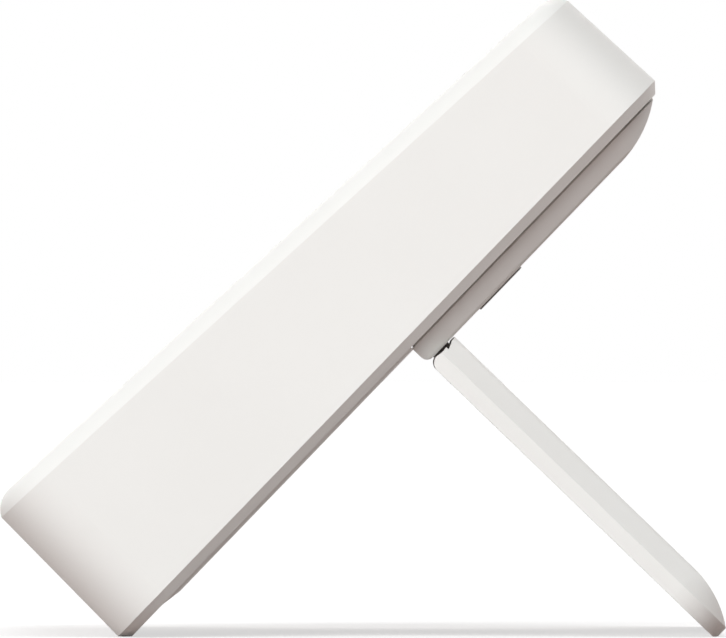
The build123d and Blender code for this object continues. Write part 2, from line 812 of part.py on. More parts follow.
# Ribbon from the screen tray's back down to its socket on the main board
with BuildPart() as lcd_flex:
    with BuildSketch(side_plane.offset(lcd_flex_x)):
        with BuildLine() as ribbon:
            FilletPolyline(
                (lcd_flex_start, tray_rear(lcd_flex_start)),
                (lcd_flex_bend, tray_rear(lcd_flex_bend)),
                (lcd_socket_height - 2 * connector_depth, socket_top + flex_thickness),
                (lcd_socket_height + connector_depth / 2, socket_top + flex_thickness),
                radius=flex_bend,
            )
            offset(ribbon.line, amount=flex_thickness, side=Side.RIGHT)
        make_face()
    extrude(amount=flex_width / 2, both=True)
lcd_flex.part.label = "lcd_flex"
export_step(lcd_flex.part, "parts/lcd_flex.step")

# Side board with the power and card sockets
with BuildPart() as port_board:
    with BuildSketch(back_plane.offset(port_board_lift)):
        with Locations(port_board_middle):
            Rectangle(port_board_depth, port_board_length)
        with Locations(*port_points):
            Circle(shank_radius + close_fit, mode=Mode.SUBTRACT)
    extrude(amount=board_thickness)
port_board.part.label = "port_board"
export_step(port_board.part, "parts/port_board.step")

with BuildPart() as card_socket:
    with BuildSketch(back_plane.offset(port_front)):
        with Locations((port_mouth + card_depth / 2, card_bottom + card_width / 2)):
            Rectangle(card_depth, card_width)
    extrude(amount=card_height)
    with BuildSketch(side_plane.offset(port_mouth)):
        with Locations((card_bottom + card_width / 2, port_front + card_height / 2)):
            Rectangle(card_width - 2 * card_shell, card_height - 2 * card_shell)
    extrude(amount=card_depth - card_shell, mode=Mode.SUBTRACT)
card_socket.part.label = "card_socket"
export_step(card_socket.part, "parts/card_socket.step")

with BuildPart() as usb_socket:
    with BuildSketch(side_plane.offset(port_mouth)):
        with Locations((usb_middle, port_front + usb_height / 2)):
            SlotOverall(usb_width, usb_height)
            SlotOverall(usb_width - 2 * usb_shell, usb_height - 2 * usb_shell, mode=Mode.SUBTRACT)
            Rectangle(usb_width / 2, usb_tongue)
    extrude(amount=usb_depth)
    with BuildSketch(side_plane.offset(port_mouth + usb_depth)):
        with Locations((usb_middle, port_front + usb_height / 2)):
            Rectangle(usb_width, usb_height)
    extrude(amount=-usb_shell)
usb_socket.part.label = "usb_socket"
export_step(usb_socket.part, "parts/usb_socket.step")

with BuildPart() as port_flex_socket:
    with BuildSketch(back_plane.offset(port_front)):
        with Locations((port_flex_start, port_flex_height)):
            Rectangle(connector_depth, port_flex_width + connector_depth)
    extrude(amount=connector_height)
port_flex_socket.part.label = "port_flex_socket"
export_step(port_flex_socket.part, "parts/port_flex_socket.step")

port_screws = screws(back_plane.offset(port_front), port_points, board_thickness + port_board_lift - free_gap)
port_screws.label = "port_screws"
export_step(port_screws, "parts/port_screws.step")

# Ribbon between the two boards
with BuildPart() as port_flex:
    with BuildSketch(Plane(case_origin + up * port_flex_height, x_dir=across, z_dir=-up)):
        with BuildLine() as port_ribbon:
            FilletPolyline(
                (port_flex_start - connector_depth / 2, port_socket_top),
                (port_flex_start + 2 * connector_depth, port_socket_top),
                (port_flex_end - 2 * connector_depth, socket_top),
                (port_flex_end + connector_depth / 2, socket_top),
                radius=flex_bend,
            )
            offset(port_ribbon.line, amount=flex_thickness, side=Side.LEFT)
        make_face()
    extrude(amount=port_flex_width / 2, both=True)
port_flex.part.label = "port_flex"
export_step(port_flex.part, "parts/port_flex.step")

# Loudspeakers on foam rings behind the sound holes
with BuildPart() as speaker_gaskets:
    with BuildSketch(back_plane.offset(pan_depth)):
        with Locations(*speaker_points):
            Circle(speaker_radius)
            Circle(speaker_radius - gasket_width, mode=Mode.SUBTRACT)
    extrude(amount=speaker_gasket)
speaker_gaskets.part.label = "speaker_gaskets"
export_step(speaker_gaskets.part, "parts/speaker_gaskets.step")

with BuildPart() as speakers:
    with BuildSketch(back_plane.offset(pan_depth + speaker_gasket)):
        with Locations(*speaker_points):
            Circle(speaker_radius)
    extrude(amount=speaker_depth)
    with BuildSketch(back_plane.offset(pan_depth + speaker_gasket + speaker_depth)):
        with Locations(*speaker_points):
            Circle(magnet_radius)
    extrude(amount=magnet_depth)
speakers.part.label = "speakers"
export_step(speakers.part, "parts/speakers.step")

# Two hinges, each a steel bracket with two ears, the pin through them, friction washers and clips
hinge_axis_place = (hinge_height, -hinge_depth)
cheek_rise = cover_thickness + housing_band + cheek_thickness / tan(radians(flank_slope)) - hinge_depth
cheek_sweep = sqrt(housing_drop**2 + cheek_rise**2) + free_gap

with BuildPart() as hinge_brackets:
    bracket_bottom = hinge_height - ear_radius
    bracket_top = bay_top - free_gap
    with BuildSketch(back_plane.offset(pocket_floor)):
        with Locations(*[(centre, (bracket_bottom + bracket_top) / 2) for centre in hinge_centres]):
            Rectangle(bracket_width, bracket_top - bracket_bottom)
        with Locations(*bracket_screw_points):
            Circle(shank_radius + close_fit, mode=Mode.SUBTRACT)
    extrude(amount=-bracket_thickness)
    for start in paired(ear_start, ear_thickness):
        with BuildSketch(side_plane.offset(start)):
            with Locations(hinge_axis_place):
                Circle(ear_radius)
            with Locations((hinge_height, (pocket_floor - hinge_depth) / 2)):
                Rectangle(2 * ear_radius, hinge_depth + pocket_floor)
            with Locations(hinge_axis_place):
                Circle(pin_radius + close_fit, mode=Mode.SUBTRACT)
        extrude(amount=ear_thickness)
hinge_brackets.part.label = "hinge_brackets"
export_step(hinge_brackets.part, "parts/hinge_brackets.step")

bracket_seat = rear_plane.offset(bracket_thickness - pocket_floor)
bracket_screws = screws(bracket_seat, bracket_screw_points, bracket_thickness + screw_bite - free_gap)
bracket_screws.label = "bracket_screws"
export_step(bracket_screws, "parts/bracket_screws.step")

with BuildPart() as hinge_pins:
    for centre in hinge_centres:
        with BuildSketch(side_plane.offset(centre)):
            with Locations(hinge_axis_place):
                Circle(pin_radius)
        extrude(amount=pin_length / 2, both=True)
hinge_pins.part.label = "hinge_pins"
export_step(hinge_pins.part, "parts/hinge_pins.step")

with BuildPart() as hinge_washers:
    for start in paired(washer_start, washer_thickness):
        with BuildSketch(side_plane.offset(start)):
            with Locations(hinge_axis_place):
                Circle(washer_radius)
                Circle(pin_radius + close_fit, mode=Mode.SUBTRACT)
        extrude(amount=washer_thickness)
hinge_washers.part.label = "hinge_washers"
export_step(hinge_washers.part, "parts/hinge_washers.step")

with BuildPart() as pin_clips:
    for start in paired(clip_start, clip_thickness):
        with BuildSketch(side_plane.offset(start)):
            with Locations(hinge_axis_place):
                Circle(clip_radius)
                Circle(pin_radius + close_fit, mode=Mode.SUBTRACT)
        extrude(amount=clip_thickness)
pin_clips.part.label = "pin_clips"
export_step(pin_clips.part, "parts/pin_clips.step")

# Easel leg: outer shell with two hinge arms, shown swung out square to the back
hollow_length = leg_tip - leg_hollow_end - leg_start - leg_hollow_start
hollow_middle = (0, leg_start + leg_hollow_start + hollow_length / 2)
hollow_width = leg_width - 2 * leg_cover_margin

with BuildPart() as leg_hollow:
    with BuildSketch(shelf_plane(leg_inner)):
        with Locations(hollow_middle):
            RectangleRounded(hollow_width, hollow_length, leg_cover_margin)
    extrude(amount=leg_thickness - leg_wall)
    with BuildSketch(shelf_plane(leg_inner + leg_cover_thickness)):
        with Locations(*leg_screw_points):
            Circle(boss_radius)
    extrude(amount=leg_thickness, mode=Mode.SUBTRACT)
    with BuildSketch(shelf_plane(leg_inner)):
        with Locations(hollow_middle):
            rebate_radius = leg_cover_margin + leg_rebate
            RectangleRounded(hollow_width + 2 * leg_rebate, hollow_length + 2 * leg_rebate, rebate_radius)
    extrude(amount=leg_cover_thickness)
    with BuildSketch(shelf_plane(leg_inner + leg_cover_thickness)):
        with Locations(*leg_screw_points):
            Circle(shank_radius + close_fit)
    extrude(amount=leg_thickness - leg_wall - leg_cover_thickness)

leg_outline = leg_plan(0, leg_start - flank_margin, leg_tip)
leg_block = flanked_block(shelf_plane(leg_inner), leg_outline, leg_band, leg_thickness)

with BuildPart() as leg_shell:
    add(leg_block)
    fillet(leg_shell.faces().sort_by(Axis(case_origin, up))[-1].edges(), flank_edge)
    # Side profile: square hinge end, curved tip and the bevel that clears the table
    with BuildSketch(side_plane) as profile:
        with BuildLine():
            Polyline(
                (leg_tip_top, -leg_tip),
                (leg_cut_height, -leg_tip),
                (leg_inner, -leg_cut_depth),
                (leg_inner, -leg_start),
                (leg_outer, -leg_start),
                (leg_outer, leg_arc_run - leg_tip),
            )
            TangentArc((leg_outer, leg_arc_run - leg_tip), (leg_tip_top, -leg_tip), tangent=(0, -1))
        make_face()
        fillet(profile.vertices().group_by(Axis.Y)[-1].sort_by(Axis.X)[0], leg_edge_radius)
    extrude(amount=leg_width, both=True, mode=Mode.INTERSECT)
    # Room to swing past the housing's lower edge, less of it in the thin cheeks at the ends
    for reach, sweep in ((leg_width, cheek_sweep), (leg_width / 2 - cheek_thickness, hinge_sweep)):
        with BuildSketch(side_plane):
            with Locations(hinge_axis_place):
                Circle(sweep)
        extrude(amount=reach, both=True, mode=Mode.SUBTRACT)
    add(leg_hollow.part, mode=Mode.SUBTRACT)
    # Hinge arms and their bore
    for centre in hinge_centres:
        with BuildSketch(side_plane.offset(centre)):
            with Locations(hinge_axis_place):
                Circle(barrel_radius)
            with Locations((hinge_height, -(hinge_depth + leg_start + leg_wall) / 2)):
                Rectangle(2 * neck_half, leg_start + leg_wall - hinge_depth)
        extrude(amount=arm_width / 2, both=True)
    with BuildSketch(side_plane):
        with Locations(hinge_axis_place):
            Circle(pin_radius + running_fit)
    extrude(amount=leg_width, both=True, mode=Mode.SUBTRACT)
    # Notch for the rubber foot
    with BuildSketch(side_plane):
        with Locations((leg_inner, -leg_tip)):
            Rectangle(2 * foot_height, 2 * foot_depth)
    extrude(amount=foot_length / 2, both=True, mode=Mode.SUBTRACT)
leg_shell.part.label = "leg_shell"
export_step(leg_shell.part, "parts/leg_shell.step")

with BuildPart() as leg_foot:
    with BuildSketch(side_plane):
        with Locations((leg_inner + foot_height / 2, foot_depth / 2 - leg_tip)):
            Rectangle(foot_height, foot_depth)
    extrude(amount=foot_length / 2 - close_fit, both=True)
    split(bisect_by=Plane.XY, keep=Keep.TOP)
leg_foot.part.label = "leg_foot"
export_step(leg_foot.part, "parts/leg_foot.step")

with BuildPart() as leg_cover:
    with BuildSketch(shelf_plane(leg_inner)):
        with Locations(hollow_middle):
            cover_grow = 2 * (leg_rebate - assembly_gap)
            lid_radius = rebate_radius - assembly_gap
            RectangleRounded(hollow_width + cover_grow, hollow_length + cover_grow, lid_radius)
        with Locations(*leg_screw_points):
            Circle(shank_radius + close_fit, mode=Mode.SUBTRACT)
    extrude(amount=leg_cover_thickness)
    with BuildSketch(shelf_plane(leg_inner)):
        with Locations(*leg_screw_points):
            Circle(head_radius + close_fit)
    extrude(amount=head_height, mode=Mode.SUBTRACT)
leg_cover.part.label = "leg_cover"
export_step(leg_cover.part, "parts/leg_cover.step")

leg_screw_plane = Plane(case_origin + up * (leg_inner + head_height), x_dir=across, z_dir=-up)
leg_screw_places = [(x, -depth) for x, depth in leg_screw_points]
leg_screws = screws(leg_screw_plane, leg_screw_places, leg_thickness - leg_wall - head_height - free_gap)
leg_screws.label = "leg_screws"
export_step(leg_screws, "parts/leg_screws.step")
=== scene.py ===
"""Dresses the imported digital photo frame: finishes, screw heads, studio light and the side-on camera."""

import json
import logging
from dataclasses import dataclass, field
from enum import Enum
from math import cos, pi, radians, sin, sqrt
from typing import Iterable, Sequence

import bmesh
import bpy
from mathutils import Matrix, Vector

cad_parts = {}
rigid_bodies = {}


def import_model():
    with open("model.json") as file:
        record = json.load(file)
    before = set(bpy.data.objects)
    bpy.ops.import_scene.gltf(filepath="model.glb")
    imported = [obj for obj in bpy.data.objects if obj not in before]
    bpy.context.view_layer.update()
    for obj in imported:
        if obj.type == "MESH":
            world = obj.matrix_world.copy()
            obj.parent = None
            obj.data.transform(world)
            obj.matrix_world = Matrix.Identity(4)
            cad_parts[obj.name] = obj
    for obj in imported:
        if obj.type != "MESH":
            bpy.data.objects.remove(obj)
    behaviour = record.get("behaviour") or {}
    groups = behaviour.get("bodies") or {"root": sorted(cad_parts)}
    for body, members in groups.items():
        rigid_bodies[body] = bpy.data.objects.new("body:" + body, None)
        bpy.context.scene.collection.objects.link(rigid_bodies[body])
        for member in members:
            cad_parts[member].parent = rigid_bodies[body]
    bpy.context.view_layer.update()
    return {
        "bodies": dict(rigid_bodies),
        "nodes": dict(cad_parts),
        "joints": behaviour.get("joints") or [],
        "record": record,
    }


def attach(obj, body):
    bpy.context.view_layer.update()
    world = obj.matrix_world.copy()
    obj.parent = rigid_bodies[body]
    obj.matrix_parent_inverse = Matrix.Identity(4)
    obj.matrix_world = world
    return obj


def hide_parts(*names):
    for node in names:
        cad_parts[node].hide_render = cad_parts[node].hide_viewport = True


LOG = logging.getLogger("photo_frame")

Colour = tuple[float, float, float]
Ring = list[bmesh.types.BMVert]

MILLIMETRE = 0.001
MICROMETRE = 0.000001

# The case's lean from upright, and its own ways across, up and forward
LEAN = radians(44.0)
ACROSS = Vector((1.0, 0.0, 0.0))
UP = Vector((0.0, sin(LEAN), cos(LEAN)))
FORWARD = Vector((0.0, -cos(LEAN), sin(LEAN)))

# Turn of the screen's grid about the width. It isn't square to the screen, which leans back 47.66 degrees
# from upright, so the picture elements come out about eight times as tall as wide
GRID_TURN = radians(40.34)

# Values between which a noise texture mostly stays
NOISE_LOW, NOISE_HIGH = 0.3, 0.7

# How much coarser the uneven gloss is than the relief, and the octaves of the relief
WEAR_COARSENESS = 6.0
RELIEF_DETAIL = 3.0

# Light that shows as plain white
PLAIN_WHITE = (1.0, 1.0, 1.0, 1.0)


class Body(str, Enum):
    """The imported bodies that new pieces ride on."""

    FRAME = "frame"
    LEG = "stand_leg"


class Slot(str, Enum):
    """The record's material slots."""

    WHITE = "case_white"
    BUTTON = "button_grey"
    GLASS = "clear_glass"
    FOAM = "foam_black"
    SCREEN = "screen_black"
    GUIDE = "light_guide"
    STEEL = "steel"
    RIBBON = "ribbon_amber"
    RUBBER = "rubber_grey"
    BOARD = "board_green"
    CHIP = "chip_black"
    SOCKET = "socket_ivory"
    SINK = "sink_aluminium"


def portion(value: float) -> float:
    """Keeps a value between 0 and 1.

    Args:
        value: Any value.

    Returns:
        The value, or the nearer of 0 and 1.
    """
    return max(0.0, min(1.0, value))


def circle(radius: float, count: int) -> list[tuple[float, float]]:
    """Spaces points round a circle.

    Args:
        radius: Its radius, in metres.
        count: How many points it has.

    Returns:
        The two coordinates of each point.
    """
    turns = [2 * pi * step / count for step in range(count)]
    return [(radius * cos(turn), radius * sin(turn)) for turn in turns]


def web(mesh: bmesh.types.BMesh, middle: bmesh.types.BMVert, rings: Sequence[Ring]) -> None:
    """Joins a middle point and the rings round it with faces.

    Args:
        mesh: The mesh that holds the points.
        middle: The middle point.
        rings: The rings from the middle outwards, all with as many points.
    """
    count = len(rings[0])
    for step in range(count):
        after = (step + 1) % count
        mesh.faces.new((middle, rings[0][step], rings[0][after]))
        for inner, outer in zip(rings, rings[1:]):
            mesh.faces.new((inner[step], outer[step], outer[after], inner[after]))


def finished(name: str, mesh: bmesh.types.BMesh) -> bpy.types.Object:
    """Turns a mesh under construction into an object of the scene.

    Args:
        name: The object's name.
        mesh: The mesh, which is freed.

    Returns:
        The new object.
    """
    data = bpy.data.meshes.new(name)
    mesh.to_mesh(data)
    mesh.free()
    made = bpy.data.objects.new(name, data)
    bpy.context.scene.collection.objects.link(made)
    return made


class Graph:
    """Adds and links the shader nodes of one material or world."""

    def __init__(self, tree: bpy.types.NodeTree) -> None:
        """Empties a node tree.

        Args:
            tree: The node tree to fill.
        """
        self.tree = tree
        tree.nodes.clear()

    def add(self, kind: str, **settings: object) -> bpy.types.Node:
        """Adds a node.

        Args:
            kind: The node's type, such as ShaderNodeMix.
            settings: Attributes of the node.

        Returns:
            The new node.
        """
        node = self.tree.nodes.new(kind)
        for name, value in settings.items():
            setattr(node, name, value)
        return node

    def link(self, source: bpy.types.NodeSocket, target: bpy.types.NodeSocket) -> None:
        """Joins two sockets.

        Args:
            source: An output socket.
            target: An input socket.
        """
        self.tree.links.new(source, target)

    def place(self, stretch: Sequence[float] = (1, 1, 1), turn: float = 0.0) -> bpy.types.NodeSocket:
        """Gives the piece's own coordinates, in metres.

        Args:
            stretch: Scale along each axis.
            turn: Turn about the width, in radians.

        Returns:
            The vector socket.
        """
        coordinates = self.add("ShaderNodeTexCoord")
        mapping = self.add("ShaderNodeMapping")
        mapping.inputs["Scale"].default_value = stretch
        mapping.inputs["Rotation"].default_value = (turn, 0.0, 0.0)
        self.link(coordinates.outputs["Object"], mapping.inputs["Vector"])
        return mapping.outputs["Vector"]

    def noise(self, vector: bpy.types.NodeSocket, scale: float, detail: float = 2.0) -> bpy.types.NodeSocket:
        """Adds a noise texture.

        Args:
            vector: Where it is sampled.
            scale: Cycles per metre.
            detail: Octaves of finer noise.

        Returns:
            The noise value.
        """
        node = self.add("ShaderNodeTexNoise")
        node.inputs["Scale"].default_value = scale
        node.inputs["Detail"].default_value = detail
        self.link(vector, node.inputs["Vector"])
        return node.outputs["Fac"]

    def span(self, value: bpy.types.NodeSocket, low: float, high: float) -> bpy.types.NodeSocket:
        """Spreads a noise value over a range.

        Args:
            value: A value about 0.5.
            low: What it gives at its low end.
            high: What it gives at its high end.

        Returns:
            The spread value.
        """
        node = self.add("ShaderNodeMapRange")
        node.inputs["From Min"].default_value = NOISE_LOW
        node.inputs["From Max"].default_value = NOISE_HIGH
        node.inputs["To Min"].default_value = low
        node.inputs["To Max"].default_value = high
        self.link(value, node.inputs["Value"])
        return node.outputs["Result"]

    def blend(self, value: bpy.types.NodeSocket, first: Colour, second: Colour) -> bpy.types.NodeSocket:
        """Mixes two colours by a value.

        Args:
            value: The share of the second colour.
            first: The colour at 0.
            second: The colour at 1.

        Returns:
            The colour.
        """
        node = self.add("ShaderNodeMix", data_type="RGBA")
        inputs = {socket.name: socket for socket in node.inputs if socket.type == "RGBA"}
        inputs["A"].default_value = (*first, 1.0)
        inputs["B"].default_value = (*second, 1.0)
        self.link(value, node.inputs["Factor"])
        return next(socket for socket in node.outputs if socket.type == "RGBA")

    def seen(self) -> bpy.types.NodeSocket:
        """Tells the rays that look, straight or by way of gloss or glass, from those that light.

        Returns:
            A value of 1 for a ray that looks.
        """
        rays = self.add("ShaderNodeLightPath")
        mirrored = self.add("ShaderNodeMath", operation="MAXIMUM")
        self.link(rays.outputs["Is Glossy Ray"], mirrored.inputs[0])
        self.link(rays.outputs["Is Transmission Ray"], mirrored.inputs[1])
        looking = self.add("ShaderNodeMath", operation="MAXIMUM")
        self.link(rays.outputs["Is Camera Ray"], looking.inputs[0])
        self.link(mirrored.outputs["Value"], looking.inputs[1])
        return looking.outputs["Value"]

    def bump(self, height: bpy.types.NodeSocket, strength: float, depth: float) -> bpy.types.NodeSocket:
        """Turns a height into a normal.

        Args:
            height: The height value.
            strength: Share of the bump that shows.
            depth: Height of the bump, in metres.

        Returns:
            The normal.
        """
        node = self.add("ShaderNodeBump")
        node.inputs["Strength"].default_value = strength
        node.inputs["Distance"].default_value = depth
        self.link(height, node.inputs["Height"])
        return node.outputs["Normal"]


@dataclass(frozen=True)
class Finish:
    """A procedural finish: two close tones, uneven gloss and a fine relief.

    Args:
        slot: The record's slot.
        tone: Main colour, linear.
        shade: Colour of its patches.
        gloss: Lowest and highest roughness.
        patch: Cycles per metre of the tone's patches.
        grain: Cycles per metre of the relief.
        relief: Height of the relief, in metres.
        strength: Share of the relief that shows.
        metallic: How metallic the surface is.
        shine: Strength of its mirror-like part.
        stretch: Scale of the relief along each axis.
    """

    slot: Slot
    tone: Colour
    shade: Colour
    gloss: tuple[float, float] = (0.4, 0.5)
    patch: float = 40.0
    grain: float = 2500.0
    relief: float = 20 * MICROMETRE
    strength: float = 0.2
    metallic: float = 0.0
    shine: float = 0.5
    stretch: tuple[float, float, float] = (1.0, 1.0, 1.0)

    def material(self) -> bpy.types.Material:
        """Builds the material.

        Returns:
            The material, named after its slot.
        """
        made = bpy.data.materials.new(self.slot.value)
        made.use_nodes = True
        graph = Graph(made.node_tree)
        surface = graph.add("ShaderNodeBsdfPrincipled")
        output = graph.add("ShaderNodeOutputMaterial")
        graph.link(surface.outputs["BSDF"], output.inputs["Surface"])
        surface.inputs["Metallic"].default_value = self.metallic
        surface.inputs["Specular IOR Level"].default_value = self.shine
        self.paint(graph, surface)
        return made

    def paint(self, graph: Graph, surface: bpy.types.Node) -> None:
        """Links the tone, gloss and relief.

        Args:
            graph: The material's nodes.
            surface: Its main shader.
        """
        plain = graph.place()
        drawn = graph.place(self.stretch)
        patches = graph.span(graph.noise(plain, self.patch), 0.0, 1.0)
        graph.link(graph.blend(patches, self.tone, self.shade), surface.inputs["Base Color"])
        wear = graph.span(graph.noise(drawn, self.grain / WEAR_COARSENESS), *self.gloss)
        graph.link(wear, surface.inputs["Roughness"])
        height = graph.noise(drawn, self.grain, RELIEF_DETAIL)
        graph.link(graph.bump(height, self.strength, self.relief), surface.inputs["Normal"])


@dataclass(frozen=True)
class GlassFinish(Finish):
    """Clear polished cover glass with a trace of haze.

    Args:
        index: Its refractive index.
    """

    index: float = 1.45

    def paint(self, graph: Graph, surface: bpy.types.Node) -> None:
        """Makes the glass clear, with a faint unevenness in its tint and polish.

        Args:
            graph: The material's nodes.
            surface: Its main shader.
        """
        plain = graph.place()
        haze = graph.noise(plain, self.patch)
        graph.link(graph.blend(haze, self.tone, self.shade), surface.inputs["Base Color"])
        polish = graph.add("ShaderNodeMapRange", interpolation_type="SMOOTHSTEP")
        polish.inputs["To Min"].default_value, polish.inputs["To Max"].default_value = self.gloss
        graph.link(haze, polish.inputs["Value"])
        graph.link(polish.outputs["Result"], surface.inputs["Roughness"])
        surface.inputs["Transmission Weight"].default_value = 1.0
        surface.inputs["IOR"].default_value = self.index


@dataclass(frozen=True)
class ScreenFinish(Finish):
    """Dark liquid-crystal panel with a fine grid of tall picture elements.

    Args:
        pitch: Picture elements per metre across the screen.
        gap: Width of the lines between them, as a share of an element.
        gap_tone: Colour of those lines.
        turn: Turn of the grid about the width, in radians.
    """

    pitch: float = 5900.0
    gap: float = 0.08
    gap_tone: Colour = (0.004, 0.004, 0.005)
    turn: float = GRID_TURN

    def paint(self, graph: Graph, surface: bpy.types.Node) -> None:
        """Draws the grid of picture elements.

        Args:
            graph: The material's nodes.
            surface: Its main shader.
        """
        turned = graph.place(turn=self.turn)
        cells = graph.add("ShaderNodeTexBrick", offset=0.0, squash=1.0)
        cells.inputs["Color1"].default_value = (*self.tone, 1.0)
        cells.inputs["Color2"].default_value = (*self.shade, 1.0)
        cells.inputs["Mortar"].default_value = (*self.gap_tone, 1.0)
        cells.inputs["Scale"].default_value = self.pitch
        cells.inputs["Mortar Size"].default_value = self.gap
        cells.inputs["Brick Width"].default_value = 1.0
        cells.inputs["Row Height"].default_value = 1.0
        graph.link(turned, cells.inputs["Vector"])
        graph.link(cells.outputs["Color"], surface.inputs["Base Color"])
        wear = graph.span(graph.noise(turned, self.patch), *self.gloss)
        graph.link(wear, surface.inputs["Roughness"])
        height = graph.noise(turned, self.grain)
        graph.link(graph.bump(height, self.strength, self.relief), surface.inputs["Normal"])


@dataclass(frozen=True)
class BoardFinish(Finish):
    """Solder-masked circuit board with faint tracks.

    Args:
        track_edge: Where a track's edge starts and ends, as a distance in the cell pattern.
    """

    track_edge: tuple[float, float] = (0.03, 0.06)

    def paint(self, graph: Graph, surface: bpy.types.Node) -> None:
        """Draws the tracks under the mask.

        Args:
            graph: The material's nodes.
            surface: Its main shader.
        """
        plain = graph.place()
        tracks = graph.add("ShaderNodeTexVoronoi", feature="DISTANCE_TO_EDGE", distance="CHEBYCHEV")
        tracks.inputs["Scale"].default_value = self.patch
        graph.link(plain, tracks.inputs["Vector"])
        band = graph.add("ShaderNodeMapRange")
        band.inputs["From Min"].default_value, band.inputs["From Max"].default_value = self.track_edge
        graph.link(tracks.outputs["Distance"], band.inputs["Value"])
        graph.link(graph.blend(band.outputs["Result"], self.shade, self.tone), surface.inputs["Base Color"])
        wear = graph.span(graph.noise(plain, self.grain / WEAR_COARSENESS), *self.gloss)
        graph.link(wear, surface.inputs["Roughness"])
        graph.link(graph.bump(band.outputs["Result"], self.strength, self.relief), surface.inputs["Normal"])


@dataclass(frozen=True)
class FoamFinish(Finish):
    """Soft cellular surface, for foam and rubber."""

    def paint(self, graph: Graph, surface: bpy.types.Node) -> None:
        """Draws the cells.

        Args:
            graph: The material's nodes.
            surface: Its main shader.
        """
        plain = graph.place()
        patches = graph.span(graph.noise(plain, self.patch), 0.0, 1.0)
        graph.link(graph.blend(patches, self.tone, self.shade), surface.inputs["Base Color"])
        cells = graph.add("ShaderNodeTexVoronoi")
        cells.inputs["Scale"].default_value = self.grain
        graph.link(plain, cells.inputs["Vector"])
        wear = graph.span(cells.outputs["Distance"], *self.gloss)
        graph.link(wear, surface.inputs["Roughness"])
        relief = graph.bump(cells.outputs["Distance"], self.strength, self.relief)
        graph.link(relief, surface.inputs["Normal"])


FINISHES: tuple[Finish, ...] = (
    Finish(
        slot=Slot.WHITE,
        tone=(0.800, 0.797, 0.775),
        shade=(0.785, 0.781, 0.758),
        gloss=(0.62, 0.72),
        patch=25.0,
        grain=2600.0,
        relief=12 * MICROMETRE,
        strength=0.12,
        shine=0.22,
    ),
    Finish(
        slot=Slot.BUTTON,
        tone=(0.220, 0.210, 0.200),
        shade=(0.190, 0.182, 0.174),
        gloss=(0.42, 0.55),
        patch=300.0,
        grain=4000.0,
        relief=10 * MICROMETRE,
    ),
    GlassFinish(
        slot=Slot.GLASS,
        tone=(0.96, 0.98, 0.98),
        shade=(0.95, 0.97, 0.97),
        gloss=(0.003, 0.009),
        patch=20.0,
    ),
    FoamFinish(
        slot=Slot.FOAM,
        tone=(0.02, 0.02, 0.02),
        shade=(0.03, 0.03, 0.03),
        gloss=(0.85, 0.98),
        patch=200.0,
        grain=2200.0,
        relief=100 * MICROMETRE,
        strength=0.5,
    ),
    ScreenFinish(
        slot=Slot.SCREEN,
        tone=(0.010, 0.011, 0.014),
        shade=(0.012, 0.013, 0.015),
        gloss=(0.50, 0.60),
        patch=30.0,
        grain=900.0,
        relief=1 * MICROMETRE,
        strength=0.05,
        shine=0.02,
    ),
    Finish(
        slot=Slot.GUIDE,
        tone=(0.80, 0.82, 0.82),
        shade=(0.76, 0.78, 0.79),
        gloss=(0.2, 0.3),
        patch=80.0,
        grain=1500.0,
        relief=10 * MICROMETRE,
    ),
    Finish(
        slot=Slot.STEEL,
        tone=(0.56, 0.56, 0.57),
        shade=(0.47, 0.47, 0.48),
        gloss=(0.26, 0.42),
        patch=220.0,
        grain=1800.0,
        relief=6 * MICROMETRE,
        strength=0.25,
        metallic=1.0,
        stretch=(1.0, 0.08, 0.08),
    ),
    Finish(
        slot=Slot.RIBBON,
        tone=(0.52, 0.24, 0.035),
        shade=(0.40, 0.17, 0.02),
        gloss=(0.3, 0.42),
        patch=500.0,
        grain=2600.0,
        strength=0.3,
        stretch=(1.0, 0.02, 0.02),
    ),
    FoamFinish(
        slot=Slot.RUBBER,
        tone=(0.62, 0.61, 0.58),
        shade=(0.56, 0.55, 0.52),
        gloss=(0.7, 0.85),
        patch=150.0,
        grain=3000.0,
        relief=30 * MICROMETRE,
        strength=0.3,
    ),
    BoardFinish(
        slot=Slot.BOARD,
        tone=(0.012, 0.085, 0.028),
        shade=(0.03, 0.15, 0.055),
        gloss=(0.28, 0.4),
        patch=260.0,
        grain=2400.0,
        relief=30 * MICROMETRE,
        strength=0.3,
    ),
    Finish(
        slot=Slot.CHIP,
        tone=(0.022, 0.022, 0.023),
        shade=(0.032, 0.032, 0.033),
        gloss=(0.5, 0.66),
        patch=300.0,
        grain=5000.0,
        relief=10 * MICROMETRE,
        strength=0.3,
    ),
    Finish(
        slot=Slot.SOCKET,
        tone=(0.58, 0.50, 0.34),
        shade=(0.52, 0.45, 0.30),
        gloss=(0.4, 0.52),
        patch=300.0,
        grain=3000.0,
        relief=10 * MICROMETRE,
    ),
    Finish(
        slot=Slot.SINK,
        tone=(0.66, 0.67, 0.69),
        shade=(0.58, 0.59, 0.61),
        gloss=(0.3, 0.45),
        patch=200.0,
        grain=2200.0,
        relief=8 * MICROMETRE,
        strength=0.25,
        metallic=1.0,
        stretch=(0.06, 1.0, 1.0),
    ),
)


